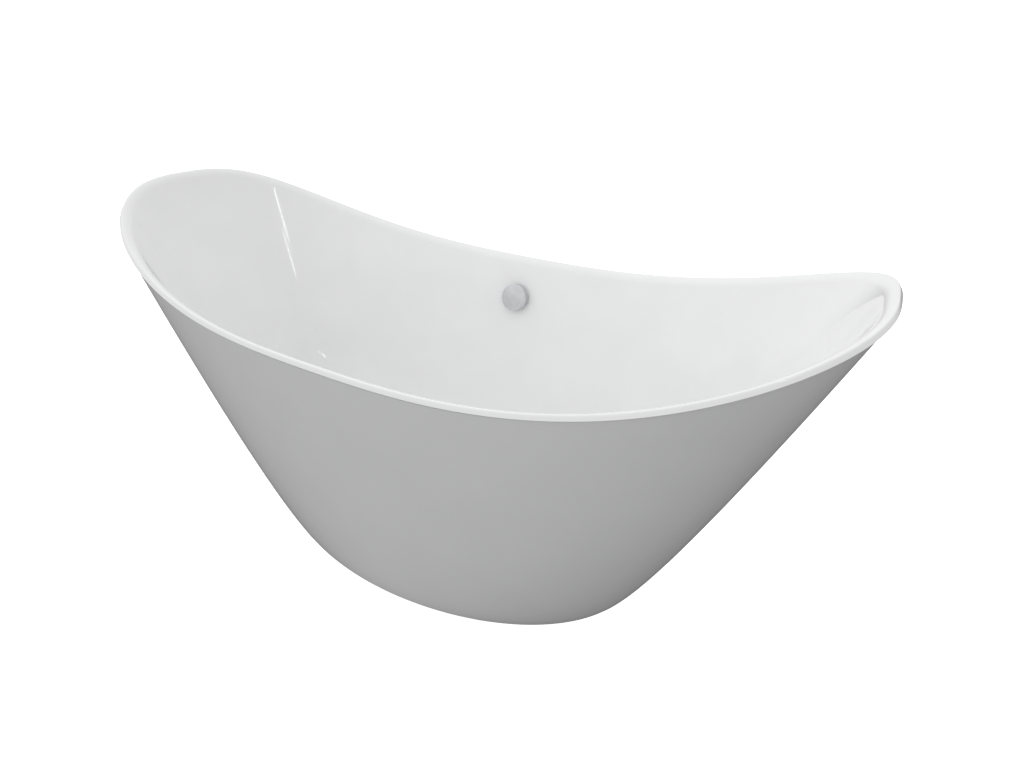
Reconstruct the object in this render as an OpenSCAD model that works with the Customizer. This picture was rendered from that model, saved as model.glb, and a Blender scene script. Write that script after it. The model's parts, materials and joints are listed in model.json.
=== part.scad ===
/* [Tub] */
// Overall length over the raised ends
tub_l = 1700; // [1500:10:1800]
// Overall width at the rim
tub_w = 780; // [740:5:840]
// Height of the rim at both raised ends
end_h = 802; // [740:2:840]
// Height of the rim at mid-length
mid_h = 616; // [590:2:660]
// Length of the outer wall at the floor
base_l = 1024; // [960:2:1100]
// Width of the outer wall at the floor
base_w = 604; // [580:2:640]
// Squareness of the rim in plan (2 is an ellipse)
rim_power = 2.72; // [2.3:0.02:3]
// Squareness of the footprint in plan (2 is an ellipse)
base_power = 1.96; // [1.9:0.02:2.2]
// How late the rim sweeps up towards the ends
sweep_power = 2.65; // [2:0.05:3.2]
// Bulge of the side walls (1 is straight)
side_bulge = 0.783; // [0.75:0.001:0.9]
// Bulge of the end walls (1 is straight)
end_bulge = 0.852; // [0.8:0.001:0.95]

/* [Basin] */
// Height of the basin floor around the drain
floor_z = 140; // [136:1:150]
// Rise of the basin floor from the drain to its edge
floor_fall = 12; // [8:1:16]
// Length of the basin floor, measured to the corner of floor and wall
floor_l = 1010; // [900:10:1020]
// Width of the basin floor, measured to the corner of floor and wall
floor_w = 410; // [390:5:420]
// Width of the rim at mid-length, from its outer edge to the inner wall
rim_w = 22; // [20:1:26]
// Width of the rim at both raised ends
rim_end_w = 17; // [16:1:24]
// Depth of the roll from the rim top to the inner wall
roll_h = 18; // [16:1:24]
// Thickness of the basin wall
basin_t = 6; // [5:0.5:7]
// Thickness of the outer skirt
skirt_t = 5; // [4:0.5:6]

/* [Drain] */
// Outer radius of the drain flange
flange_r = 35; // [34:0.5:37]
// Outer radius of the tailpiece
tail_r = 19.05; // [19:0.05:20]
// Lift of the plug between closed and open
plug_lift = 10; // [6:1:10]

/* [Overflow] */
// Height of the overflow centre above the floor
overflow_z = 512; // [500:2:530]
// Radius of the overflow knob
knob_r = 36; // [32:1:38]
// How far the knob stands out from the basin wall
knob_out = 22; // [19:1:26]
// Outer radius of the overflow hose
hose_r = 11; // [10:0.5:12]

/* [Frame and feet] */
// Side of the square steel tube
bar = 25; // [20:1:28]
// Distance between the two cross bars
bar_gap = 600; // [540:10:640]
// Distance between the feet across the tub
foot_gap = 340; // [320:5:350]
// Radius of a levelling foot
pad_r = 25; // [20:1:28]
// Radius of the threaded stud in each foot
stud_r = 5; // [4:0.5:6]

/* [Hidden] */
AROUND = 72;
fit_gap = 0.05;
glue_gap = 0.4;
joint_gap = 0.3;
seam_h = 9;
seam_gap = 1.5;
edge_w = 5;
crown_w = 6;
seat_r = 62;
seat_share = 0.92;
floor_power = 2.4;
fillet_top = 0.24;
fillet_run = 0.4;
skirt_z = 3;
skirt_rows = 9;

// Heights under the basin floor, from the top down
board_top = floor_z - basin_t - glue_gap;
board_z = board_top - 18.6;
board_l = 860;
board_w = 350;
board_hole_r = 46;
rail_y = 130;
rail_l = 760;
rail_z = board_z - bar;
cross_z = rail_z - bar;
cross_l = foot_gap + 90;
tube_t = 2;
nut_h = 8;
nut_af = 17;
pad_h = 12;
stud_z = 4;
stud_top = board_z - 8;
bolt_r = 3;
bolt_head = 5;
bolt_bite = 12;
board_power = 4;
SIDES = [-1, 1];

// Drain: the flange, plug and waste body stand on the vertical axis at the origin
wall_t = 3;
seal_t = 1.5;
flange_z = floor_z + seal_t;
flange_t = 3;
thread_r = 23.5;
thread_z = 106;
throat_r = 20;
guide_z = 118;
guide_h = 4;
guide_w = 3;
collar_top = floor_z - basin_t - 2.2;
collar_r = 42;
collar_h = 9;
washer_t = 2;
neck_z = 116;
body_z = 55;
body_r = 31;
body_in_r = 27.5;
port_z = 70;
spigot_r = 8.5;
spigot_in_r = 7;
spigot_start = 34;
spigot_end = 56;

// Outlet elbow towards the front, with the tailpiece hanging from its socket
outlet_z = 78;
outlet_reach = 62;
outlet_r = 23;
outlet_in_r = 17;
socket_z = 40;
tail_z = 6;
tail_step_z = 32;
tail_nut_z = 34;
tail_top = 60;
tail_t = 1.65;
tail_neck_r = tail_r - 0.25;
slip_nut_h = 18;
slip_nut_floor = 4;

// Plug and the rod that lifts it
cap_z = floor_z + 5.3;
cap_r = 28;
cap_hub_r = 9;
cap_hub_h = 6;
stem_r = 4;
stem_z = 80;
rod_r = 3;
rod_guide_r = rod_r + 4;
rod_guide_z = body_z - 13;
rod_guide_top = body_z + 11;
rod_grip = 13;
rod_z = rod_guide_top - plug_lift - rod_grip;

// Overflow, on an axis square to the basin wall
gasket_t = 2;
sleeve_r = 19.6;
sleeve_t = 2.5;
sleeve_depth = basin_t + 14;
wall_hole_r = 21;
overflow_depth = 27.5;
spindle_r = 4;
knob_back = 9;
knob_t = 2.5;
knob_hub_r = 8;
screw_z = 12.5;
screw_r = 1.5;
drum_r = 12;
drop_z = -18.5;
drop_start = knob_r + 3;
drop_end = knob_r + 23;
guide_end = knob_r + 9;

// Hose and cable
clip_w = 8;
hose_bend = 40;
hose_grip = 0.1;
cuff_t = 0.5;
cuff_lap = 1;
cable_x = 18;
cable_r = 2.5;
cable_z = 18;
cable_turn_reach = 50;
cable_up = 21;
cable_sides = 8;
$fn = 64;

// ---- Outlines and walls ----

// Point of a rounded-rectangle-like oval at angle a: half axes hx, hy, squareness n
function oval(hx, hy, n, a) =
  let (g = pow(pow(abs(cos(a)), n) + pow(abs(sin(a)), n), -1 / n))
  [hx * g * cos(a), hy * g * sin(a)];

// Unit vector pointing inwards, square to the oval at the same angle
function inward(hx, hy, n, a) =
  let (p = oval(hx, hy, n, a),
       v = [-sign(p.x) * pow(abs(p.x / hx), n - 1) / hx, -sign(p.y) * pow(abs(p.y / hy), n - 1) / hy])
  v / norm(v);

function rim(a) = oval(tub_l / 2, tub_w / 2, rim_power, a);
function rim_in(a) = inward(tub_l / 2, tub_w / 2, rim_power, a);
function foot_line(a) = oval(base_l / 2, base_w / 2, base_power, a);
function rim_z(a) = mid_h + (end_h - mid_h) * pow(abs(rim(a).x) / (tub_l / 2), sweep_power);
function bulge(a) = side_bulge + (end_bulge - side_bulge) * pow(cos(a), 2);

// Point at a height in mm on the outer face, at angle a
function outer_at(a, z) =
  let (e = pow(z / rim_z(a), bulge(a)), p = foot_line(a) * (1 - e) + rim(a) * e)
  [p.x, p.y, z];

// The basin wall runs from a corner line on the floor up to the inside of the rim
function corner(a) = oval(floor_l / 2, floor_w / 2, floor_power, a);
function corner_z() = floor_z + floor_fall;
function rim_width(a) = rim_w + (rim_end_w - rim_w) * pow(cos(a), 2);
function lip(a) = rim(a) + rim_width(a) * rim_in(a);
function seat(a) = [seat_r * cos(a), seat_r * sin(a)];

// Point at share v of the height on the inner face
function inner_at(a, v) =
  let (p = corner(a) + (lip(a) - corner(a)) * pow(v, bulge(a)))
  [p.x, p.y, corner_z() + v * (rim_z(a) - corner_z())];

// Where the wall's tangent at share v meets share w
function tangent_at(a, v, w) =
  let (q = bulge(a), p = inner_at(a, v), s = (lip(a) - corner(a)) * q * pow(v, q - 1) * (w - v))
  [p.x + s.x, p.y + s.y, corner_z() + w * (rim_z(a) - corner_z())];

// Smooth quarter bend from p to q, rounding off the corner c
function bend(p, c, q, steps) =
  let (k = 0.5523, p1 = p + k * (c - p), q1 = q + k * (c - q))
  [for (i = [0:steps]) let (s = i / steps, r = 1 - s)
    r * r * r * p + 3 * r * r * s * p1 + 3 * r * s * s * q1 + s * s * s * q];

function lift(p, z) = [p.x, p.y, z];

// Section of the basin at angle a: up the slanting edge that overhangs the skirt, over the rim
// and its roll, down the wall and round the fillet to the level bed of the drain
function basin_section(a) =
  let (z = rim_z(a),
       top = 1 - roll_h / (z - corner_z()),
       edge = [lift(rim(a), z - seam_h + seam_gap), lift(rim(a) + edge_w * rim_in(a), z)],
       crown = lift(rim(a) + crown_w * rim_in(a), z),
       roll = bend(crown, tangent_at(a, top, 1), inner_at(a, top), 6),
       wall = [for (i = [1:4]) inner_at(a, top + (fillet_top - top) * i / 5)],
       toe = tangent_at(a, fillet_top, 0),
       bed = lift(seat(a), floor_z),
       fillet = bend(inner_at(a, fillet_top), toe, toe + fillet_run * (bed - toe), 5))
  concat(edge, roll, wall, fillet, [bed, lift(seat(a) * seat_share, floor_z)]);

// Section of the skirt at angle a, from the floor to the seam under the rim
function skirt_section(a) =
  let (z = rim_z(a) - seam_h)
  [for (i = [0:skirt_rows]) outer_at(a, skirt_z + (z - skirt_z) * i / skirt_rows)];

// ---- Shells made from a ring of sections ----

function unit(v) = v / norm(v);

// Outward normal of a grid of sections at column i and row j; at a sharp crest, that of the face past it
function grid_normal(g, i, j, crest) =
  let (n = len(g), m = len(g[0]) - 1, before = j == crest ? j : j - 1)
  unit(cross(g[(i + 1) % n][j] - g[(i + n - 1) % n][j], g[i][min(j + 1, m)] - g[i][max(before, 0)]));

// Point of a grid set back by t, square to the face, or level with it at an open edge
function set_back(g, i, j, t, crest, capped) =
  let (v = grid_normal(g, i, j, crest), open = j == 0 || (!capped && j == len(g[0]) - 1))
  g[i][j] - t * (open ? unit([v.x, v.y, 0]) : v);

// Closed skin between a grid and its copy set back by t; a capped one closes over its middle
module shell(g, t, crest = 0, capped = false) {
  n = len(g);
  m = len(g[0]);
  back = [for (i = [0:n - 1]) [for (j = [0:m - 1]) set_back(g, i, j, t, crest, capped)]];
  points = [for (side = [g, back]) for (column = side) for (p = column) p];
  function at(i, j, k) = k * n * m + (i % n) * m + j;
  faces = concat(
    [for (i = [0:n - 1]) for (j = [0:m - 2]) each [
      [at(i, j, 0), at(i, j + 1, 0), at(i + 1, j + 1, 0)],
      [at(i, j, 0), at(i + 1, j + 1, 0), at(i + 1, j, 0)],
      [at(i, j, 1), at(i + 1, j + 1, 1), at(i, j + 1, 1)],
      [at(i, j, 1), at(i + 1, j, 1), at(i + 1, j + 1, 1)]]],
    [for (i = [0:n - 1]) each [
      [at(i, 0, 0), at(i + 1, 0, 0), at(i + 1, 0, 1)],
      [at(i, 0, 0), at(i + 1, 0, 1), at(i, 0, 1)]]],
    capped ? [
      [for (i = [n - 1:-1:0]) at(i, m - 1, 0)],
      [for (i = [0:n - 1]) at(i, m - 1, 1)]]
    : [for (i = [0:n - 1]) each [
      [at(i + 1, m - 1, 0), at(i, m - 1, 0), at(i, m - 1, 1)],
      [at(i + 1, m - 1, 0), at(i, m - 1, 1), at(i + 1, m - 1, 1)]]]);
  polyhedron(points, faces);
}

ANGLES = [for (i = [0:AROUND - 1]) i * 360 / AROUND];

// ---- Small shared shapes ----

module ring(r_out, r_in, h) {
  difference() {
    cylinder(r = r_out, h = h);
    translate([0, 0, -1]) cylinder(r = r_in, h = h + 2);
  }
}

module hex_nut(across_flats, bore_r, h) {
  difference() {
    cylinder(r = across_flats / sqrt(3), h = h, $fn = 6);
    translate([0, 0, -1]) cylinder(r = bore_r, h = h + 2);
  }
}

// Square tube along X, centred, standing on z = 0
module square_tube(length) {
  difference() {
    translate([-length / 2, -bar / 2, 0]) cube([length, bar, bar]);
    translate([-length / 2 - 1, -bar / 2 + tube_t, tube_t])
      cube([length + 2, bar - 2 * tube_t, bar - 2 * tube_t]);
  }
}

module at_bolts() {
  for (sx = SIDES, sy = SIDES) translate([sx * bar_gap / 2, sy * rail_y, 0]) children();
}

function foot_at(n) = [(n % 2 == 1 ? -1 : 1) * bar_gap / 2, (n <= 2 ? -1 : 1) * foot_gap / 2, 0];

// ---- Basin and skirt ----

module basin_shell() {
  color([0.96, 0.96, 0.96]) difference() {
    shell([for (a = ANGLES) basin_section(a)], basin_t, crest = 1, capped = true);
    translate([0, 0, floor_z - 2 * basin_t]) cylinder(r = thread_r + 1, h = 4 * basin_t);
    at_overflow() translate([0, 0, -3 * basin_t]) cylinder(r = wall_hole_r, h = 6 * basin_t);
  }
}

module outer_skirt() {
  color([0.94, 0.94, 0.94]) shell([for (a = ANGLES) skirt_section(a)], skirt_t);
}

// ---- Support frame ----

module base_board() {
  color([0.72, 0.56, 0.38]) difference() {
    translate([0, 0, board_z]) linear_extrude(board_top - board_z)
      polygon([for (a = ANGLES) oval(board_l / 2, board_w / 2, board_power, a)]);
    translate([0, 0, board_z - 1]) cylinder(r = board_hole_r, h = board_top - board_z + 2);
    at_bolts() translate([0, 0, board_z - 1]) cylinder(r = bolt_r + fit_gap, h = bolt_bite + 2);
  }
}

module rail(side) {
  color([0.62, 0.64, 0.66]) difference() {
    translate([0, side * rail_y, rail_z]) square_tube(rail_l);
    at_bolts() translate([0, 0, rail_z - 1]) cylinder(r = bolt_r + fit_gap, h = bar + 2);
  }
}

module rail_front() { rail(-1); }

module rail_back() { rail(1); }

module cross_bar(side) {
  color([0.62, 0.64, 0.66]) difference() {
    translate([side * bar_gap / 2, 0, cross_z]) rotate([0, 0, 90]) square_tube(cross_l);
    at_bolts() translate([0, 0, cross_z - 1]) cylinder(r = bolt_r + fit_gap, h = bar + 2);
    for (n = [1:4]) translate(foot_at(n)) translate([0, 0, cross_z - 1])
      cylinder(r = stud_r + fit_gap, h = bar + 2);
  }
}

module cross_bar_left() { cross_bar(-1); }

module cross_bar_right() { cross_bar(1); }

module frame_bolts() {
  color([0.75, 0.76, 0.78]) at_bolts() {
    translate([0, 0, cross_z - bolt_head]) cylinder(r = 2 * bolt_r, h = bolt_head, $fn = 6);
    translate([0, 0, cross_z - 0.01]) cylinder(r = bolt_r, h = 2 * bar + bolt_bite);
  }
}

// ---- Levelling feet, numbered from the front left ----

module foot_pad(n) {
  color([0.15, 0.15, 0.16]) translate(foot_at(n)) difference() {
    rotate_extrude() polygon([[0, 0], [pad_r, 0], [pad_r, pad_h / 3], [pad_r / 2, pad_h], [0, pad_h]]);
    translate([0, 0, stud_z]) cylinder(r = stud_r + fit_gap, h = pad_h);
  }
}

module foot_stud(n) {
  color([0.75, 0.76, 0.78]) translate(foot_at(n)) {
    translate([0, 0, stud_z + joint_gap]) cylinder(r = stud_r, h = stud_top - stud_z - joint_gap);
    translate([0, 0, pad_h + 1]) cylinder(r = 1.7 * stud_r, h = 6, $fn = 6);
  }
}

module foot_pad_1() { foot_pad(1); }

module foot_pad_2() { foot_pad(2); }

module foot_pad_3() { foot_pad(3); }

module foot_pad_4() { foot_pad(4); }

module foot_stud_1() { foot_stud(1); }

module foot_stud_2() { foot_stud(2); }

module foot_stud_3() { foot_stud(3); }

module foot_stud_4() { foot_stud(4); }

module foot_locknuts() {
  color([0.75, 0.76, 0.78]) for (n = [1:4], z = [cross_z - nut_h, cross_z + bar])
    translate(foot_at(n)) translate([0, 0, z]) hex_nut(nut_af, stud_r + fit_gap, nut_h);
}

// ---- Drain ----

module drain_flange() {
  color([0.82, 0.83, 0.85]) difference() {
    union() {
      rotate_extrude() polygon([
        [throat_r, thread_z], [thread_r, thread_z], [thread_r, flange_z], [flange_r, flange_z],
        [flange_r, flange_z + flange_t / 2], [flange_r - 2, flange_z + flange_t],
        [flange_r - 5, flange_z + flange_t], [thread_r, flange_z + 1], [throat_r, flange_z - 0.5]]);
      for (turn = [0, 90]) rotate([0, 0, turn])
        translate([-throat_r - 1, -guide_w / 2, guide_z]) cube([2 * throat_r + 2, guide_w, guide_h]);
      translate([0, 0, guide_z]) cylinder(r = stem_r + wall_t, h = guide_h);
    }
    translate([0, 0, guide_z - 1]) cylinder(r = stem_r + fit_gap, h = guide_h + 2);
  }
}

module flange_seal() {
  color([0.2, 0.2, 0.2]) translate([0, 0, floor_z]) ring(flange_r - 2, thread_r + 0.5, seal_t);
}

module waste_seal() {
  color([0.2, 0.2, 0.2]) translate([0, 0, collar_top]) ring(collar_r, thread_r + 0.5, washer_t);
}

// Pot under the drain, its side outlet and elbow, the hose port and the guide of the lift rod
module waste_outside() {
  translate([0, 0, body_z]) cylinder(r = body_r, h = collar_top - body_z);
  translate([0, 0, collar_top - collar_h]) cylinder(r = collar_r, h = collar_h);
  translate([0, 0, rod_guide_z]) cylinder(r = rod_guide_r, h = body_z + wall_t - rod_guide_z);
  translate([0, 0, port_z]) rotate([-90, 0, 0]) cylinder(r = spigot_r, h = spigot_end);
  translate([0, 0, outlet_z]) rotate([90, 0, 0]) cylinder(r = outlet_r, h = outlet_reach);
  translate([0, -outlet_reach, outlet_z]) sphere(r = outlet_r);
  translate([0, -outlet_reach, socket_z]) cylinder(r = outlet_r, h = outlet_z - socket_z);
}

// The water's way through it, the threaded neck and the socket of the tailpiece
module waste_inside() {
  difference() {
    translate([0, 0, body_z + wall_t]) cylinder(r = body_in_r, h = neck_z - body_z - wall_t);
    translate([0, 0, body_z]) cylinder(r = rod_guide_r, h = rod_guide_top - body_z);
  }
  translate([0, 0, neck_z - 1]) cylinder(r = thread_r + fit_gap, h = collar_top - neck_z + 2);
  translate([0, 0, rod_guide_z - 1]) cylinder(r = rod_r + fit_gap, h = rod_guide_top - rod_guide_z + 2);
  translate([0, body_in_r - 2, port_z]) rotate([-90, 0, 0]) cylinder(r = spigot_in_r, h = spigot_end);
  translate([0, 2 - body_in_r, outlet_z]) rotate([90, 0, 0])
    cylinder(r = outlet_in_r, h = outlet_reach - body_in_r + 2);
  translate([0, -outlet_reach, outlet_z]) sphere(r = outlet_in_r);
  translate([0, -outlet_reach, tail_top]) cylinder(r = outlet_in_r, h = outlet_z - tail_top);
  translate([0, -outlet_reach, socket_z - 1])
    cylinder(r = tail_neck_r + fit_gap, h = tail_top - socket_z + 1);
}

module waste_body() {
  color([0.9, 0.9, 0.88]) difference() {
    waste_outside();
    waste_inside();
  }
}

// Waste pipe: full size below its step, and a hair smaller inside the nut and socket
module tailpiece() {
  color([0.9, 0.9, 0.88]) translate([0, -outlet_reach, 0]) difference() {
    union() {
      translate([0, 0, tail_z]) cylinder(r = tail_r, h = tail_step_z - tail_z);
      translate([0, 0, tail_step_z]) cylinder(r = tail_neck_r, h = tail_top - tail_step_z - 1);
    }
    translate([0, 0, tail_z - 1]) cylinder(r = tail_r - tail_t, h = tail_top - tail_z + 2);
  }
}

module slip_washer() {
  color([0.2, 0.2, 0.2]) translate([0, -outlet_reach, socket_z - washer_t])
    ring(outlet_r, tail_neck_r + fit_gap, washer_t);
}

module slip_nut() {
  color([0.93, 0.93, 0.91]) translate([0, -outlet_reach, tail_nut_z]) difference() {
    cylinder(r = outlet_r + 2 * wall_t, h = slip_nut_h, $fn = 8);
    translate([0, 0, -1]) cylinder(r = tail_neck_r + fit_gap, h = slip_nut_h + 2);
    translate([0, 0, slip_nut_floor]) cylinder(r = outlet_r + fit_gap, h = slip_nut_h);
  }
}

// ---- Plug ----

module stopper_cap() {
  color([0.85, 0.86, 0.88]) difference() {
    rotate_extrude() polygon([
      [0, cap_z - cap_hub_h], [cap_hub_r, cap_z - cap_hub_h], [cap_hub_r, cap_z], [cap_r - 0.6, cap_z],
      [cap_r, cap_z + 0.6], [cap_r, cap_z + 2.4], [cap_r - 0.8, cap_z + 3.2], [cap_r * 0.6, cap_z + 4.2],
      [0, cap_z + 4.8]]);
    translate([0, 0, cap_z - cap_hub_h - 1]) cylinder(r = stem_r, h = cap_hub_h + 1);
  }
}

module stopper_seal() {
  color([0.15, 0.15, 0.15]) translate([0, 0, cap_z - washer_t]) ring(thread_r + 1.5, cap_hub_r, washer_t);
}

module stopper_stem() {
  color([0.8, 0.65, 0.35]) translate([0, 0, stem_z]) cylinder(r = stem_r, h = cap_z - stem_z);
}

module lift_rod() {
  color([0.3, 0.3, 0.32]) translate([0, 0, rod_z]) cylinder(r = rod_r, h = stem_z - rod_z);
}

// ---- Overflow: local +Z points out of the wall into the basin, +Y up the wall ----

overflow_share = (overflow_z - corner_z()) / (mid_h - corner_z());
overflow_pos = inner_at(90, overflow_share);
overflow_slope = tangent_at(90, overflow_share, overflow_share + 0.01) - overflow_pos;
lean = atan2(overflow_slope.y, overflow_slope.z);

module at_overflow() { translate(overflow_pos) rotate([90 - lean, 0, 0]) children(); }

// A point given in the overflow's own axes, in the axes of the tub
function from_overflow(p) = [
  p.x,
  overflow_pos.y + p.y * sin(lean) - p.z * cos(lean),
  overflow_pos.z + p.y * cos(lean) + p.z * sin(lean)];

module front_gasket() {
  color([0.2, 0.2, 0.2]) at_overflow() translate([0, 0, 0.8]) ring(knob_r - 2, sleeve_r + 0.5, gasket_t);
}

module overflow_flange() {
  color([0.82, 0.83, 0.85]) at_overflow() difference() {
    union() {
      translate([0, 0, 0.8 + gasket_t]) cylinder(r = knob_r, h = flange_t);
      translate([0, 0, -sleeve_depth]) cylinder(r = sleeve_r, h = sleeve_depth + flange_t);
    }
    translate([0, 0, -sleeve_depth - 1]) cylinder(r = sleeve_r - sleeve_t, h = 2 * sleeve_depth);
  }
}

module rear_gasket() {
  color([0.2, 0.2, 0.2]) at_overflow() translate([0, 0, -basin_t - 2.6])
    ring(knob_r - 2, sleeve_r + 0.5, gasket_t);
}

// Shallow pot behind the wall, its hose port below and the guide of the cable beside it
module overflow_outside() {
  translate([0, 0, -overflow_depth]) cylinder(r = knob_r - 1, h = overflow_depth - basin_t - 2.8);
  translate([0, 0, drop_z]) rotate([90, 0, 0]) cylinder(r = spigot_r, h = drop_end);
  translate([cable_x, 0, drop_z]) rotate([90, 0, 0]) cylinder(r = cable_r + 1.5, h = guide_end);
}

// The water's way through it, the threaded seat of the sleeve and the bearing of the spindle
module overflow_inside() {
  difference() {
    translate([0, 0, wall_t - overflow_depth]) cylinder(r = knob_r - 4, h = overflow_depth - basin_t - 9);
    translate([0, 0, -overflow_depth]) cylinder(r = spindle_r + wall_t, h = 1.5 * wall_t);
  }
  translate([0, 0, -basin_t - 9]) cylinder(r = sleeve_r + fit_gap, h = 10);
  translate([0, 0, -overflow_depth - 1]) cylinder(r = spindle_r + fit_gap, h = 10);
  translate([0, 4 - knob_r, drop_z]) rotate([90, 0, 0]) cylinder(r = spigot_in_r, h = drop_end);
  translate([cable_x, -20, drop_z]) rotate([90, 0, 0]) cylinder(r = cable_r - 1, h = drop_end);
}

module overflow_body() {
  color([0.9, 0.9, 0.88]) at_overflow() difference() {
    overflow_outside();
    overflow_inside();
  }
}

module overflow_knob() {
  color([0.85, 0.86, 0.88]) at_overflow() difference() {
    rotate_extrude() polygon([
      [0, knob_out], [knob_r - 1.5, knob_out], [knob_r, knob_out - 1.5], [knob_r, knob_back],
      [knob_r - knob_t, knob_back], [knob_r - knob_t, knob_out - 3], [knob_hub_r, knob_out - 3],
      [knob_hub_r, knob_back], [0, knob_back]]);
    translate([0, 0, knob_back - 1]) cylinder(r = spindle_r, h = knob_out - knob_back - 3);
    translate([0, 0, screw_z]) rotate([90, 0, 0]) cylinder(r = screw_r + fit_gap, h = 2 * knob_r);
  }
}

module knob_screw() {
  color([0.3, 0.3, 0.32]) at_overflow() translate([0, -spindle_r - joint_gap, screw_z])
    rotate([90, 0, 0]) cylinder(r = screw_r, h = 5);
}

module overflow_spindle() {
  color([0.8, 0.65, 0.35]) at_overflow() translate([0, 0, 0.5 - overflow_depth])
    cylinder(r = spindle_r, h = overflow_depth + knob_out - 5);
}

module cable_drum() {
  color([0.3, 0.3, 0.32]) at_overflow() translate([0, 0, drop_z - 1.5]) ring(drum_r, spindle_r, 3);
}

// ---- Hose and cable, from the overflow down the cavity and under the floor ----

// The straight drop and the level run of the hose meet at this corner
hose_start = from_overflow([0, -drop_start, drop_z]);
hose_corner_y = hose_start.y - (hose_start.z - port_z) * tan(lean);
hose_turn = 90 - lean;
hose_reach = hose_bend * tan(hose_turn / 2);
hose_drop = (hose_start.z - port_z) / cos(lean) - hose_reach;
hose_run = hose_corner_y - hose_reach - spigot_start;

// Everything along the middle of the hose with radius r, thicker by cuff_t on its straight ends
module hose_core(r, extra) {
  translate(hose_start) rotate([180 - lean, 0, 0]) translate([0, 0, -extra])
    cylinder(r = r + cuff_t, h = hose_drop + extra + cuff_lap);
  translate([0, hose_corner_y - hose_reach, port_z + hose_bend]) rotate([90, 0, 90]) rotate([0, 0, -90])
    rotate_extrude(angle = hose_turn) translate([hose_bend, 0]) circle(r = r);
  translate([0, spigot_start - extra, port_z]) rotate([-90, 0, 0])
    cylinder(r = r + cuff_t, h = hose_run + extra + cuff_lap);
}

module overflow_hose() {
  color([0.85, 0.85, 0.83]) difference() {
    hose_core(hose_r - cuff_t, 0);
    hose_core(spigot_r + hose_grip - cuff_t, 1);
  }
}

module hose_clip_upper() {
  color([0.75, 0.76, 0.78]) at_overflow() translate([0, -drop_start - 3, drop_z])
    rotate([90, 0, 0]) ring(hose_r + 1, hose_r + fit_gap, clip_w);
}

module hose_clip_lower() {
  color([0.75, 0.76, 0.78]) translate([0, spigot_start + 3, port_z])
    rotate([-90, 0, 0]) ring(hose_r + 1, hose_r + fit_gap, clip_w);
}

// Middle line of the cable: down beside the hose, level under the floor, then up into the waste
cable_start = from_overflow([cable_x, -guide_end, drop_z]);
cable_turn = [cable_x, cable_start.y - (cable_start.z - cable_z) * tan(lean), cable_z];
cable_foot = [0, 0, cable_z];
cable_end = [0, 0, rod_guide_z];

// Point at a distance d from c towards p
function towards(c, p, d) = c + d * unit(p - c);

function cable_line() = concat(
  [cable_start],
  bend(towards(cable_turn, cable_start, cable_turn_reach), cable_turn,
       towards(cable_turn, cable_foot, cable_turn_reach), 7),
  bend(towards(cable_foot, cable_turn, cable_up), cable_foot, towards(cable_foot, cable_end, cable_up), 7),
  [cable_end]);

// Section of the cable at point i of its middle line, square to the line there
function cable_ring(line, i) =
  let (last = len(line) - 1,
       along = unit(line[min(i + 1, last)] - line[max(i - 1, 0)]),
       u = unit([1, 0, 0] - along.x * along),
       v = cross(along, u))
  [for (k = [0:cable_sides - 1]) let (a = k * 360 / cable_sides)
    line[i] + cable_r * (cos(a) * u + sin(a) * v)];

module control_cable() {
  line = cable_line();
  n = len(line);
  m = cable_sides;
  points = [for (i = [0:n - 1]) for (p = cable_ring(line, i)) p];
  faces = concat(
    [[for (k = [0:m - 1]) k]],
    [for (i = [0:n - 2]) for (k = [0:m - 1]) let (next = (k + 1) % m) each [
      [i * m + k, (i + 1) * m + k, (i + 1) * m + next],
      [i * m + k, (i + 1) * m + next, i * m + next]]],
    [[for (k = [m - 1:-1:0]) (n - 1) * m + k]]);
  color([0.25, 0.25, 0.27]) polyhedron(points, faces);
}

basin_shell();
outer_skirt();
base_board();
rail_front();
rail_back();
cross_bar_left();
cross_bar_right();
frame_bolts();
foot_locknuts();
foot_pad_1();
foot_pad_2();
foot_pad_3();
foot_pad_4();
foot_stud_1();
foot_stud_2();
foot_stud_3();
foot_stud_4();
drain_flange();
flange_seal();
waste_seal();
waste_body();
tailpiece();
slip_washer();
slip_nut();
stopper_cap();
stopper_seal();
stopper_stem();
lift_rod();
overflow_flange();
front_gasket();
rear_gasket();
overflow_body();
overflow_hose();
hose_clip_upper();
hose_clip_lower();
overflow_knob();
knob_screw();
overflow_spindle();
cable_drum();
control_cable();
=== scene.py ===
import json
import math

import bpy
import numpy as np
from mathutils import Matrix, Vector


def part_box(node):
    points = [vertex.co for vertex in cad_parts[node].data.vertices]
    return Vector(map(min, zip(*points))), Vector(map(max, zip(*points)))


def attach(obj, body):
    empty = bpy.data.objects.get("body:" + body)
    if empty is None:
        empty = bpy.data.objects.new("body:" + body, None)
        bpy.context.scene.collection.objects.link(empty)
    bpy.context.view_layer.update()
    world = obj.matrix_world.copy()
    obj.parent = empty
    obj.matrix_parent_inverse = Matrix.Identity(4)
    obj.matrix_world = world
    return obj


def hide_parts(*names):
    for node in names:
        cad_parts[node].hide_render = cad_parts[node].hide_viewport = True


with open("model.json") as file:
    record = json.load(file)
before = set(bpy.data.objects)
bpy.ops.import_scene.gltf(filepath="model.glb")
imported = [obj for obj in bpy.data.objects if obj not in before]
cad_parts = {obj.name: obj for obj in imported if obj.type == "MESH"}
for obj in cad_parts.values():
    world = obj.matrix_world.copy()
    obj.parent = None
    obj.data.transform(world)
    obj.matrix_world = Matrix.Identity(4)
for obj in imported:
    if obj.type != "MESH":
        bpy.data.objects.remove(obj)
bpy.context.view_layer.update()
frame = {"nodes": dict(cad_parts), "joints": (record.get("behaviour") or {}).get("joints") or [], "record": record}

# ---- Driving dimensions of the tub, in metres ----

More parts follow.
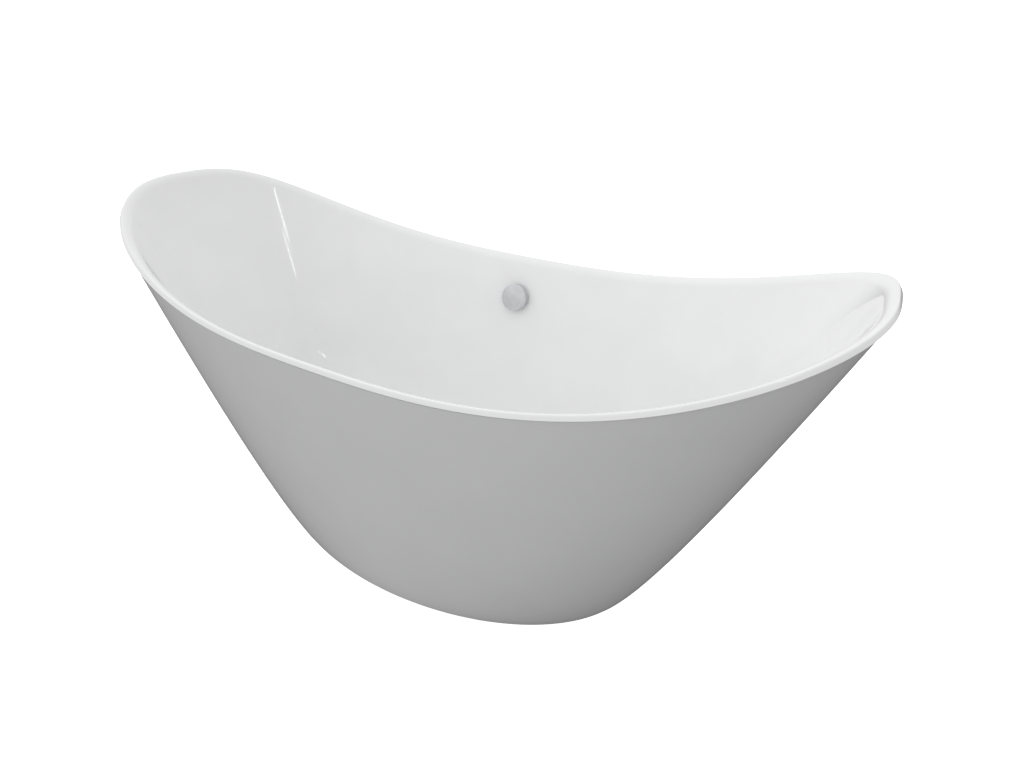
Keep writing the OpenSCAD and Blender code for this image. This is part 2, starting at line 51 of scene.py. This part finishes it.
TUB_L, TUB_W = 1.700, 0.780
END_H, MID_H = 0.802, 0.616
BASE_L, BASE_W = 1.024, 0.604
RIM_POWER, BASE_POWER, FLOOR_POWER, SWEEP_POWER = 2.72, 1.96, 2.4, 2.65
SIDE_BULGE, END_BULGE = 0.783, 0.852
FLOOR_Z, FLOOR_FALL = 0.140, 0.012
FLOOR_L, FLOOR_W = 1.010, 0.410
RIM_W, RIM_END_W, ROLL_H = 0.022, 0.017, 0.018
CROWN_W, EDGE_W = 0.006, 0.005
BASIN_T, SKIRT_T = 0.006, 0.005
SEAM_H, SEAM_GAP = 0.009, 0.0015
SEAT_R, DRAIN_HOLE_R, WALL_HOLE_R = 0.062, 0.0245, 0.021
FILLET_TOP, FILLET_RUN = 0.24, 0.4
SKIRT_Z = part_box("outer_skirt")[0].z

# Share of the rim's outer edge, from the crest down, that the crest's bend takes up
BEVEL_SHARE = 0.35

# Steps round the tub, up the skirt, and over the basin's face from the seam to the drain hole
AROUND = 288
SKIRT_STEPS = 48
EDGE_STEPS, CREST_STEPS, ROLL_STEPS = 3, 8, 18
WALL_STEPS, FILLET_STEPS, BED_STEPS, SEAT_STEPS = 24, 22, 8, 4

# Pull of a cubic curve's handles that makes it a quarter of a circle
QUARTER_PULL = 0.5523

# Sides of the turned parts
TURNED_SEGMENTS = 128


# ---- Outlines and walls, as rows of points round the tub ----

ANGLES = np.arange(AROUND) * 2 * math.pi / AROUND


def oval(hx, hy, power):
    """Points of a rounded oval with half axes hx and hy, one for each angle."""
    c, s = np.cos(ANGLES), np.sin(ANGLES)
    g = (abs(c) ** power + abs(s) ** power) ** (-1 / power)
    return np.stack([hx * g * c, hy * g * s], 1)


def inward(hx, hy, power):
    """Unit vectors square to that oval, pointing inwards."""
    p = oval(hx, hy, power)
    v = -np.sign(p) * abs(p / [hx, hy]) ** (power - 1) / [hx, hy]
    return v / np.linalg.norm(v, axis=1)[:, None]


RIM = oval(TUB_L / 2, TUB_W / 2, RIM_POWER)
RIM_IN = inward(TUB_L / 2, TUB_W / 2, RIM_POWER)
FOOT_LINE = oval(BASE_L / 2, BASE_W / 2, BASE_POWER)
CORNER = oval(FLOOR_L / 2, FLOOR_W / 2, FLOOR_POWER)
CORNER_Z = FLOOR_Z + FLOOR_FALL
RIM_Z = MID_H + (END_H - MID_H) * (abs(RIM[:, 0]) / (TUB_L / 2)) ** SWEEP_POWER
BULGE = SIDE_BULGE + (END_BULGE - SIDE_BULGE) * np.cos(ANGLES) ** 2
RIM_WIDTH = RIM_W + (RIM_END_W - RIM_W) * np.cos(ANGLES) ** 2
LIP = RIM + RIM_WIDTH[:, None] * RIM_IN


def at_height(xy, z):
    """Row of points at a height, or at one height for each angle."""
    return np.column_stack([xy, np.broadcast_to(z, AROUND)])


def outer_at(z):
    """Row of the outer face at a height, which may differ from angle to angle."""
    e = ((z / RIM_Z) ** BULGE)[:, None]
    return at_height(FOOT_LINE * (1 - e) + RIM * e, z)


def inner_at(v):
    """Row of the inner face at share v of the height from the floor to the rim."""
    return at_height(CORNER + (LIP - CORNER) * (v ** BULGE)[:, None], CORNER_Z + v * (RIM_Z - CORNER_Z))


def tangent_at(v, w):
    """Row where the inner face's tangent at share v reaches share w."""
    slope = (LIP - CORNER) * (BULGE * v ** (BULGE - 1) * (w - v))[:, None]
    row = inner_at(v)
    return at_height(row[:, :2] + slope, CORNER_Z + w * (RIM_Z - CORNER_Z))


def bend(p, c, q, steps, first=0):
    """Rows of a smooth quarter bend from row p to row q that rounds off the corner row c."""
    p1, q1 = p + QUARTER_PULL * (c - p), q + QUARTER_PULL * (c - q)
    rows = []
    for i in range(first, steps + 1):
        s = i / steps
        r = 1 - s
        rows.append(r ** 3 * p + 3 * r * r * s * p1 + 3 * r * s * s * q1 + s ** 3 * q)
    return rows


def circle_row(radius, z):
    """Row of points on a circle about the drain."""
    return at_height(radius * np.column_stack([np.cos(ANGLES), np.sin(ANGLES)]), z)


def basin_rows():
    """Rows of the basin's face, from the seam over the rim and down to the drain hole."""
    top = 1 - ROLL_H / (RIM_Z - CORNER_Z)
    low = np.full(AROUND, FILLET_TOP)
    crown = at_height(RIM + CROWN_W * RIM_IN, RIM_Z)
    toe = tangent_at(low, np.zeros(AROUND))
    bed = circle_row(SEAT_R, FLOOR_Z)
    fillet_end = toe + FILLET_RUN * (bed - toe)
    foot = at_height(RIM, RIM_Z - SEAM_H + SEAM_GAP)
    crest = at_height(RIM + EDGE_W * RIM_IN, RIM_Z)
    bevel = crest + BEVEL_SHARE * (foot - crest)
    rows = [foot + (bevel - foot) * i / EDGE_STEPS for i in range(EDGE_STEPS)]
    rows += bend(bevel, crest, crown, CREST_STEPS)
    rows += bend(crown, tangent_at(top, np.ones(AROUND)), inner_at(top), ROLL_STEPS, first=1)
    rows += [inner_at(top + (low - top) * i / WALL_STEPS) for i in range(1, WALL_STEPS)]
    rows += bend(inner_at(low), toe, fillet_end, FILLET_STEPS)
    rows += [fillet_end + (bed - fillet_end) * i / BED_STEPS for i in range(1, BED_STEPS + 1)]
    rows += [circle_row(r, FLOOR_Z) for r in np.linspace(SEAT_R, DRAIN_HOLE_R, SEAT_STEPS + 1)[1:]]
    return rows


def skirt_rows():
    """Rows of the skirt's face, from its foot up to the seam."""
    top = RIM_Z - SEAM_H
    return [outer_at(SKIRT_Z + (top - SKIRT_Z) * i / SKIRT_STEPS) for i in range(SKIRT_STEPS + 1)]


# ---- Mesh helpers ----

# Faces that meet at a greater angle than this keep a sharp edge
SHARP_DEGREES = 35
# Points of a profile nearer its axis than this lie on it
ON_AXIS = 1e-6


def new_piece(name, verts, faces, body, slot, replaces=()):
    """A smooth-shaded object that rides on a body and takes a slot's material."""
    mesh = bpy.data.meshes.new(name)
    mesh.from_pydata([tuple(v) for v in verts], [], faces)
    mesh.validate()
    mesh.shade_smooth()
    mesh.set_sharp_from_angle(angle=math.radians(SHARP_DEGREES))
    obj = bpy.data.objects.new(name, mesh)
    bpy.context.scene.collection.objects.link(obj)
    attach(obj, body)
    if replaces:
        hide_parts(*replaces)
    obj.data.materials.append(MATERIALS[slot])
    return obj


def grid_normals(grid):
    """Unit normals of a ring of sections: grid[row, angle]."""
    du = np.roll(grid, -1, 1) - np.roll(grid, 1, 1)
    dv = np.gradient(grid, axis=0)
    n = np.cross(du, dv)
    return n / np.linalg.norm(n, axis=2)[:, :, None]


def shell(rows, thickness, level=(0,), crown=0):
    """Vertices and faces of a closed skin between the rows and their copy set back by a thickness.

    The open edges named in level are cut level, and behind the rows up to the crown the back is straight.
    """
    face = np.array(rows)
    normals = grid_normals(face)
    for row in level:
        normals[row, :, 2] = 0
        normals[row] /= np.linalg.norm(normals[row], axis=1)[:, None]
    back = face - thickness * normals
    if crown:
        share = np.linspace(0, 1, crown + 1)[:, None, None]
        back[:crown + 1] = back[0] + share * (back[crown] - back[0])
    m, n = face.shape[:2]
    verts = np.concatenate([face.reshape(-1, 3), back.reshape(-1, 3)])

    def at(i, j, k):
        return k * m * n + j * n + i % n

    faces = []
    for i in range(n):
        for j in range(m - 1):
            faces.append((at(i, j, 0), at(i + 1, j, 0), at(i + 1, j + 1, 0), at(i, j + 1, 0)))
            faces.append((at(i, j, 1), at(i, j + 1, 1), at(i + 1, j + 1, 1), at(i + 1, j, 1)))
        faces.append((at(i, 0, 0), at(i, 0, 1), at(i + 1, 0, 1), at(i + 1, 0, 0)))
        faces.append((at(i, m - 1, 0), at(i + 1, m - 1, 0), at(i + 1, m - 1, 1), at(i, m - 1, 1)))
    return verts, faces


# The most of a profile's side that one rounded corner may take up
SIDE_SHARE = 0.45


def rounded(profile, radius, steps=4):
    """Closed profile of (radius, height) points with each corner off the axis rounded."""
    out = []
    count = len(profile)
    for i, p in enumerate(profile):
        p = np.array(p, float)
        a, b = np.array(profile[i - 1], float), np.array(profile[(i + 1) % count], float)
        if p[0] < ON_AXIS:
            out.append(p)
            continue
        da, db = a - p, b - p
        cut = min(radius, SIDE_SHARE * np.linalg.norm(da), SIDE_SHARE * np.linalg.norm(db))
        s, e = p + cut * da / np.linalg.norm(da), p + cut * db / np.linalg.norm(db)
        for k in range(steps + 1):
            t = k / steps
            out.append((1 - t) ** 2 * s + 2 * t * (1 - t) * p + t * t * e)
    return out


def lathe(profile, place, segments=TURNED_SEGMENTS):
    """Vertices and faces of a closed profile turned about the local Z axis, put in place by a matrix."""
    verts, faces = [], []
    rings = []
    for r, z in profile:
        if r < ON_AXIS:
            rings.append([len(verts)])
            verts.append(place @ Vector((0, 0, z)))
        else:
            rings.append(list(range(len(verts), len(verts) + segments)))
            for k in range(segments):
                a = 2 * math.pi * k / segments
                verts.append(place @ Vector((r * math.cos(a), r * math.sin(a), z)))
    for a, b in zip(rings, rings[1:] + rings[:1]):
        if len(a) == 1 and len(b) == 1:
            continue
        for k in range(segments):
            m = (k + 1) % segments
            if len(a) == 1:
                faces.append((a[0], b[k], b[m]))
            elif len(b) == 1:
                faces.append((a[k], b[0], a[m]))
            else:
                faces.append((a[k], b[k], b[m], a[m]))
    return verts, faces


# ---- Materials ----

# The stretch of a noise's values that a colour or a roughness is spread over
NOISE_LOW, NOISE_HIGH = 0.3, 0.7


class Nodes:
    """A new node material and short ways to add and join its nodes."""

    def __init__(self, name):
        self.material = bpy.data.materials.new(name)
        self.material.use_nodes = True
        self.tree = self.material.node_tree
        self.shader = self.tree.nodes["Principled BSDF"]
        coordinates = self.tree.nodes.new("ShaderNodeTexCoord")
        self.place = coordinates.outputs["Object"]

    def add(self, kind, **sockets):
        node = self.tree.nodes.new("ShaderNode" + kind)
        for key, value in sockets.items():
            node.inputs[key.replace("_", " ")].default_value = value
        return node

    def link(self, a, b):
        self.tree.links.new(a, b)

    def noise(self, scale, detail=3.0, stretch=None):
        node = self.add("TexNoise", Scale=scale, Detail=detail)
        if stretch is None:
            self.link(self.place, node.inputs["Vector"])
        else:
            mapping = self.add("Mapping")
            mapping.inputs["Scale"].default_value = stretch
            self.link(self.place, mapping.inputs["Vector"])
            self.link(mapping.outputs["Vector"], node.inputs["Vector"])
        return node.outputs["Fac"]

    def colour(self, value, low, high):
        """Base colour that goes from one colour to another with a value."""
        node = self.add("ValToRGB")
        first, last = node.color_ramp.elements
        first.position, last.position = NOISE_LOW, NOISE_HIGH
        first.color, last.color = (*low, 1), (*high, 1)
        self.link(value, node.inputs["Fac"])
        self.link(node.outputs["Color"], self.shader.inputs["Base Color"])

    def rough(self, value, low, high):
        """Roughness that goes from one number to another with a value."""
        node = self.add("MapRange", From_Min=NOISE_LOW, From_Max=NOISE_HIGH, To_Min=low, To_Max=high)
        self.link(value, node.inputs["Value"])
        self.link(node.outputs["Result"], self.shader.inputs["Roughness"])

    def bump(self, height, strength, distance):
        node = self.add("Bump", Strength=strength, Distance=distance)
        self.link(height, node.inputs["Height"])
        self.link(node.outputs["Normal"], self.shader.inputs["Normal"])

    def set(self, **sockets):
        for key, value in sockets.items():
            self.shader.inputs[key.replace("_", " ")].default_value = value


def acrylic(name, low, high):
    """Polished sanitary acrylic: near-even white, a clear hard gloss, the faintest ripple."""
    m = Nodes(name)
    m.colour(m.noise(9.0), low, high)
    m.rough(m.noise(26.0), 0.07, 0.12)
    m.bump(m.noise(120.0, 2.0), 0.02, 0.0004)
    m.set(IOR=1.49, Coat_Weight=0.4, Coat_Roughness=0.03)
    return m.material


def chrome(name):
    """Satin-bright plating."""
    m = Nodes(name)
    m.colour(m.noise(60.0), (0.63, 0.64, 0.66), (0.69, 0.70, 0.71))
    m.rough(m.noise(140.0), 0.16, 0.22)
    m.set(Metallic=1.0)
    return m.material


def galvanised(name):
    """Zinc-dipped steel: a dull spangle of crystal patches."""
    m = Nodes(name)
    cells = m.add("TexVoronoi", Scale=90.0)
    m.link(m.place, cells.inputs["Vector"])
    m.colour(cells.outputs["Color"], (0.48, 0.50, 0.52), (0.68, 0.70, 0.72))
    m.rough(m.noise(50.0), 0.38, 0.55)
    m.set(Metallic=0.9)
    return m.material


def turned_metal(name, low, high):
    """Plated or turned small metal parts with fine lathe lines."""
    m = Nodes(name)
    m.colour(m.noise(80.0), low, high)
    lines = m.noise(30.0, 2.0, stretch=(1, 1, 60))
    m.rough(lines, 0.22, 0.40)
    m.bump(lines, 0.08, 0.0003)
    m.set(Metallic=1.0)
    return m.material


def plywood(name):
    """Sealed plywood: long grain on the faces, stacked plies on the edges."""
    m = Nodes(name)
    plies = m.noise(4.0, 1.0, stretch=(0.2, 0.2, 160))
    grain = m.noise(6.0, 8.0, stretch=(1, 14, 1))
    half = m.add("Math")
    half.operation = "MULTIPLY"
    half.inputs[1].default_value = 0.5
    m.link(grain, half.inputs[0])
    mixed = m.add("Math")
    mixed.operation = "MULTIPLY_ADD"
    mixed.inputs[1].default_value = 0.5
    m.link(plies, mixed.inputs[0])
    m.link(half.outputs[0], mixed.inputs[2])
    m.colour(mixed.outputs[0], (0.42, 0.27, 0.14), (0.72, 0.54, 0.34))
    m.rough(grain, 0.45, 0.65)
    m.bump(grain, 0.15, 0.0006)
    return m.material


def moulded(name, low, high, rough_low, rough_high):
    """Moulded plastic or rubber with a fine cast grain."""
    m = Nodes(name)
    m.colour(m.noise(14.0), low, high)
    m.rough(m.noise(40.0), rough_low, rough_high)
    m.bump(m.noise(900.0, 2.0), 0.1, 0.0002)
    return m.material


MATERIALS = {
    "white_acrylic": acrylic("white_acrylic", (0.925, 0.927, 0.93), (0.945, 0.947, 0.95)),
    # The skirt's copy of the acrylic is a touch greyer than the basin's: painted shade, since the skirt is the
    # same white acrylic and only gets less light from above
    "white_acrylic_skirt": acrylic("white_acrylic_skirt", (0.92, 0.922, 0.925), (0.94, 0.942, 0.945)),
    "birch_plywood": plywood("birch_plywood"),
    "galvanised_steel": galvanised("galvanised_steel"),
    "zinc_fasteners": turned_metal("zinc_fasteners", (0.60, 0.61, 0.63), (0.72, 0.73, 0.75)),
    "chrome_plate": chrome("chrome_plate"),
    "black_rubber": moulded("black_rubber", (0.022, 0.022, 0.022), (0.035, 0.035, 0.035), 0.55, 0.75),
    "foot_rubber": moulded("foot_rubber", (0.035, 0.035, 0.037), (0.055, 0.055, 0.058), 0.55, 0.75),
    "white_plastic": moulded("white_plastic", (0.78, 0.78, 0.76), (0.84, 0.84, 0.82), 0.30, 0.42),
    "grey_hose": moulded("grey_hose", (0.52, 0.53, 0.53), (0.60, 0.61, 0.61), 0.35, 0.50),
    "black_plastic": moulded("black_plastic", (0.02, 0.02, 0.022), (0.035, 0.035, 0.038), 0.35, 0.50),
    "brass_parts": turned_metal("brass_parts", (0.62, 0.45, 0.20), (0.75, 0.57, 0.28)),
}


def finish_cad_nodes():
    """Each CAD node takes its slot's material; the replaced ones are hidden where their new pieces are made."""
    for part in frame["record"]["subparts"]:
        node = frame["nodes"][part["node"]]
        node.data.materials.clear()
        node.data.materials.append(MATERIALS[part["material_slot"]])


# ---- Place of the overflow ----

KNOB = next(j for j in frame["joints"] if j["name"] == "knob_turn")


def overflow_place():
    """Matrix of the overflow's own axes: local Z out of the wall, local Y up it."""
    z = Vector(KNOB["axis"]).normalized()
    x = Vector((1, 0, 0))
    y = z.cross(x)
    return Matrix.Translation(KNOB["pos_m"]) @ Matrix((x, y, z)).transposed().to_4x4()


# ---- Basin and skirt ----

def fitted(verts, node):
    """The points drawn in, by hairs, so that they stay inside the box of their CAD node."""
    low, high = (np.array(v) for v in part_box(node))
    middle = (low + high) / 2
    middle[2] = low[2]
    share = np.minimum((high - middle) / (verts.max(0) - middle), 1.0)
    return middle + (verts - middle) * share


# Drill: its length on each side of the wall's face, and how many sides it has
DRILL_REACH = 4 * BASIN_T
DRILL_SEGMENTS = 96


def marked(verts, faces, hole_r, place):
    """The closed skin with the outline of a round hole marked on it, along a place's own Z axis.

    The drill's faces point inwards, so the solver marks the outline and leaves the wall whole.
    """
    wall, drill = bpy.data.meshes.new("wall"), bpy.data.meshes.new("drill")
    wall.from_pydata([tuple(v) for v in verts], [], faces)
    profile = [(0, -DRILL_REACH), (hole_r, -DRILL_REACH), (hole_r, DRILL_REACH), (0, DRILL_REACH)]
    tool_verts, tool_faces = lathe(profile, place, DRILL_SEGMENTS)
    drill.from_pydata(tool_verts, [], tool_faces)
    solid, tool = bpy.data.objects.new("wall", wall), bpy.data.objects.new("drill", drill)
    for obj in (solid, tool):
        bpy.context.scene.collection.objects.link(obj)
    cut = solid.modifiers.new("cut", "BOOLEAN")
    cut.object, cut.operation, cut.solver = tool, "DIFFERENCE", "EXACT"
    done = solid.evaluated_get(bpy.context.evaluated_depsgraph_get()).to_mesh()
    verts = [tuple(v.co) for v in done.vertices]
    faces = [tuple(f.vertices) for f in done.polygons]
    for mesh in (wall, drill):
        bpy.data.meshes.remove(mesh)
    return verts, faces


def make_basin():
    """The inner skin with its rolled rim and drain hole; the overflow hole is only marked on it."""
    verts, faces = shell(basin_rows(), BASIN_T, crown=EDGE_STEPS + CREST_STEPS)
    verts, faces = marked(fitted(verts, "basin_shell"), faces, WALL_HOLE_R, overflow_place())
    new_piece("basin", verts, faces, "root", "white_acrylic", ["basin_shell"])


def make_skirt():
    """The outer skin, from just above the floor to the seam under the rim."""
    verts, faces = shell(skirt_rows(), SKIRT_T, level=(0, -1))
    verts = fitted(verts, "outer_skirt")
    # The skirt takes the greyer copy of the acrylic, which paints shade onto the same white acrylic
    new_piece("skirt", verts, faces, "root", "white_acrylic_skirt", ["outer_skirt"])


# ---- Overflow and drain ----

# Radius of the knob's spindle and of the plug's stem
SHAFT_R = 0.004

# Knob: how far its face and its back edge stand off the wall, its wall, face and hub, and its edge's bevel
KNOB_R, KNOB_OUT, KNOB_BACK = 0.036, 0.022, 0.009
KNOB_WALL, KNOB_FACE_T, HUB_R = 0.0025, 0.003, 0.008
KNOB_BEVEL, KNOB_ROUND = 0.0012, 0.0008

# Overflow ring: its back and front off the wall, its sleeve through the wall, and its edge's bevel
RING_BACK, RING_FRONT = 0.0028, 0.0058
SLEEVE_R, SLEEVE_WALL, SLEEVE_PAST_WALL = 0.0196, 0.0025, 0.014
RING_BEVEL, RING_BEVEL_H, RING_ROUND = 0.001, 0.0015, 0.0006

# Plug cap: the fall of its dome at the edge, as a fourth power and a square, then its edge and its neck
DOME_FALL, DOME_SQUARE_FALL = 0.0022, 0.0004
DOME_SHARE, DOME_POINTS = 0.975, 14
CAP_EDGE_FALL, CAP_TAPER, CAP_ROUND = 0.0042, 0.0006, 0.0005
NECK_R, NECK_H = 0.009, 0.006


def make_knob():
    """A flat-faced round cap with a hollow back and a hub on its spindle."""
    inside = KNOB_OUT - KNOB_FACE_T
    profile = rounded([
        (0, KNOB_OUT), (KNOB_R - KNOB_BEVEL, KNOB_OUT), (KNOB_R, KNOB_OUT - KNOB_BEVEL), (KNOB_R, KNOB_BACK),
        (KNOB_R - KNOB_WALL, KNOB_BACK), (KNOB_R - KNOB_WALL, inside), (HUB_R, inside),
        (HUB_R, KNOB_BACK), (SHAFT_R, KNOB_BACK), (SHAFT_R, inside), (0, inside)], KNOB_ROUND)
    verts, faces = lathe(profile, overflow_place())
    new_piece("knob_cover", verts, faces, "knob", "chrome_plate", ["overflow_knob"])


def make_overflow_ring():
    """A flat ring on the wall round the overflow hole, with a sleeve through it."""
    bore, sleeve_end = SLEEVE_R - SLEEVE_WALL, -BASIN_T - SLEEVE_PAST_WALL
    profile = rounded([
        (bore, RING_FRONT), (KNOB_R - RING_BEVEL, RING_FRONT), (KNOB_R, RING_FRONT - RING_BEVEL_H),
        (KNOB_R, RING_BACK), (SLEEVE_R, RING_BACK), (SLEEVE_R, sleeve_end), (bore, sleeve_end)], RING_ROUND)
    verts, faces = lathe(profile, overflow_place())
    new_piece("overflow_ring", verts, faces, "root", "chrome_plate", ["overflow_flange"])


def make_plug():
    """A low dome over the drain with a neck on its stem."""
    low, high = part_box("stopper_cap")
    r, top, base = high.x, high.z, low.z + NECK_H
    shares = np.linspace(0, DOME_SHARE, DOME_POINTS)
    dome = [(r * s, top - DOME_FALL * s ** 4 - DOME_SQUARE_FALL * s * s) for s in shares]
    profile = dome + [(r, top - CAP_EDGE_FALL), (r - CAP_TAPER, base), (NECK_R, base), (NECK_R, low.z),
                      (SHAFT_R, low.z), (SHAFT_R, base), (0, base)]
    verts, faces = lathe(rounded(profile, CAP_ROUND), Matrix.Identity(4))
    new_piece("plug_cap", verts, faces, "stopper", "chrome_plate", ["stopper_cap"])


# ---- Stage, light and camera ----

# Round floor: its flat part, the sweep up into the wall and the wall's height
FLOOR_R, COVE_R, WALL_H = 5.0, 2.5, 6.0
FLOOR_RINGS, COVE_STEPS, STAGE_SEGMENTS = 6, 16, 96
STAGE_ROUGHNESS, STAGE_GLOW = 0.9, 0.85


def stage_profile():
    """Line of the floor and wall, from the middle outwards and back along the top."""
    line = [(0, 0)] + [(FLOOR_R * k / FLOOR_RINGS, 0) for k in range(1, FLOOR_RINGS + 1)]
    for k in range(1, COVE_STEPS + 1):
        a = math.pi / 2 * k / COVE_STEPS
        line.append((FLOOR_R + COVE_R * math.sin(a), COVE_R - COVE_R * math.cos(a)))
    return line + [(FLOOR_R + COVE_R, WALL_H), (0, WALL_H)]


def stage_material():
    """Matt white with an even glow."""
    m = Nodes("studio_white")
    m.colour(m.noise(3.0), (0.86, 0.86, 0.86), (0.88, 0.88, 0.88))
    m.set(Roughness=STAGE_ROUGHNESS, Emission_Color=(1, 1, 1, 1), Emission_Strength=STAGE_GLOW)
    return m.material


def make_stage():
    """A pale round floor that sweeps up into a wall all the way round."""
    verts, faces = lathe(stage_profile(), Matrix.Identity(4), STAGE_SEGMENTS)
    mesh = bpy.data.meshes.new("studio_floor")
    mesh.from_pydata(verts, [], faces)
    mesh.shade_smooth()
    mesh.materials.append(stage_material())
    floor = bpy.data.objects.new("studio_floor", mesh)
    bpy.context.scene.collection.objects.link(floor)
    floor.visible_diffuse = False
    floor.visible_glossy = False
    floor.visible_shadow = False


# Tone of the surrounding light from straight below to straight above, and how it leans to one side
WORLD_STOPS = ((0.0, 0.12), (0.42, 0.22), (0.53, 0.72), (1.0, 0.86))
WORLD_LEAN = Vector((-0.22, 0.0, 0.0))
WORLD_STRENGTH = 1.12


def make_world():
    """Soft surrounding light: bright overhead and to the left, dim below the horizon."""
    world = bpy.data.worlds.new("studio")
    bpy.context.scene.world = world
    world.use_nodes = True
    tree = world.node_tree
    coordinates = tree.nodes.new("ShaderNodeTexCoord")
    split = tree.nodes.new("ShaderNodeSeparateXYZ")
    ramp = tree.nodes.new("ShaderNodeValToRGB")
    shift = tree.nodes.new("ShaderNodeMapRange")
    shift.inputs["From Min"].default_value = -1
    tree.links.new(coordinates.outputs["Generated"], split.inputs[0])
    tree.links.new(split.outputs["Z"], shift.inputs["Value"])
    tree.links.new(shift.outputs["Result"], ramp.inputs["Fac"])
    while len(ramp.color_ramp.elements) < len(WORLD_STOPS):
        ramp.color_ramp.elements.new(0.5)
    for element, (place, tone) in zip(ramp.color_ramp.elements, WORLD_STOPS):
        element.position = place
        element.color = (tone, tone, tone, 1)
    lean = tree.nodes.new("ShaderNodeVectorMath")
    lean.operation = "DOT_PRODUCT"
    lean.inputs[1].default_value = WORLD_LEAN
    tree.links.new(coordinates.outputs["Generated"], lean.inputs[0])
    share = tree.nodes.new("ShaderNodeMath")
    share.operation = "MULTIPLY_ADD"
    share.inputs[1].default_value = WORLD_STRENGTH
    share.inputs[2].default_value = WORLD_STRENGTH
    tree.links.new(lean.outputs["Value"], share.inputs[0])
    tree.links.new(ramp.outputs["Color"], tree.nodes["Background"].inputs["Color"])
    tree.links.new(share.outputs[0], tree.nodes["Background"].inputs["Strength"])


# The point on the raised end that both strips face
STRIP_AIM = (-0.6, 0, 0.6)


def area_light(name, place, aim, size, power):
    """A rectangular light that faces a point."""
    light = bpy.data.lights.new(name, "AREA")
    light.shape = "RECTANGLE"
    light.size, light.size_y = size
    light.energy = power
    obj = bpy.data.objects.new(name, light)
    obj.location = place
    obj.rotation_euler = (Vector(aim) - Vector(place)).to_track_quat("-Z", "Y").to_euler()
    bpy.context.scene.collection.objects.link(obj)


def make_lights():
    """Two narrow strips that lay a streak of light down the inside of the raised end."""
    area_light("streak_strip", (1.5, -1.2, 2.45), STRIP_AIM, (0.07, 0.34), 0.6)
    area_light("streak_strip_low", (1.62, -1.05, 2.2), STRIP_AIM, (0.05, 0.22), 0.3)


# Camera: its turn round the tub, height above it and slight roll, in degrees, then aim, distance and lens
VIEW_AZIMUTH, VIEW_ELEVATION, VIEW_ROLL = 29.91, 29.1, 1.19
VIEW_TARGET, VIEW_DISTANCE, VIEW_LENS = Vector((0.060, 0.216, 0.315)), 1.648, 21.5


def make_camera():
    """A camera at a distance from its aim, along a direction given by two angles, and rolled."""
    az, el, roll = (math.radians(v) for v in (VIEW_AZIMUTH, VIEW_ELEVATION, VIEW_ROLL))
    back = Vector((math.sin(az) * math.cos(el), -math.cos(az) * math.cos(el), math.sin(el)))
    right = Vector((0, 0, 1)).cross(back).normalized()
    up = back.cross(right)
    right, up = right * math.cos(roll) + up * math.sin(roll), up * math.cos(roll) - right * math.sin(roll)
    data = bpy.data.cameras.new("camera")
    data.lens = VIEW_LENS
    camera = bpy.data.objects.new("camera", data)
    camera.matrix_world = (Matrix.Translation(VIEW_TARGET + back * VIEW_DISTANCE)
                           @ Matrix((right, up, back)).transposed().to_4x4())
    bpy.context.scene.collection.objects.link(camera)
    bpy.context.scene.camera = camera


# ---- Put it together ----

make_camera()
finish_cad_nodes()
make_basin()
make_skirt()
make_knob()
make_overflow_ring()
make_plug()
make_stage()
make_world()
make_lights()
bpy.context.scene.view_settings.view_transform = "Standard"
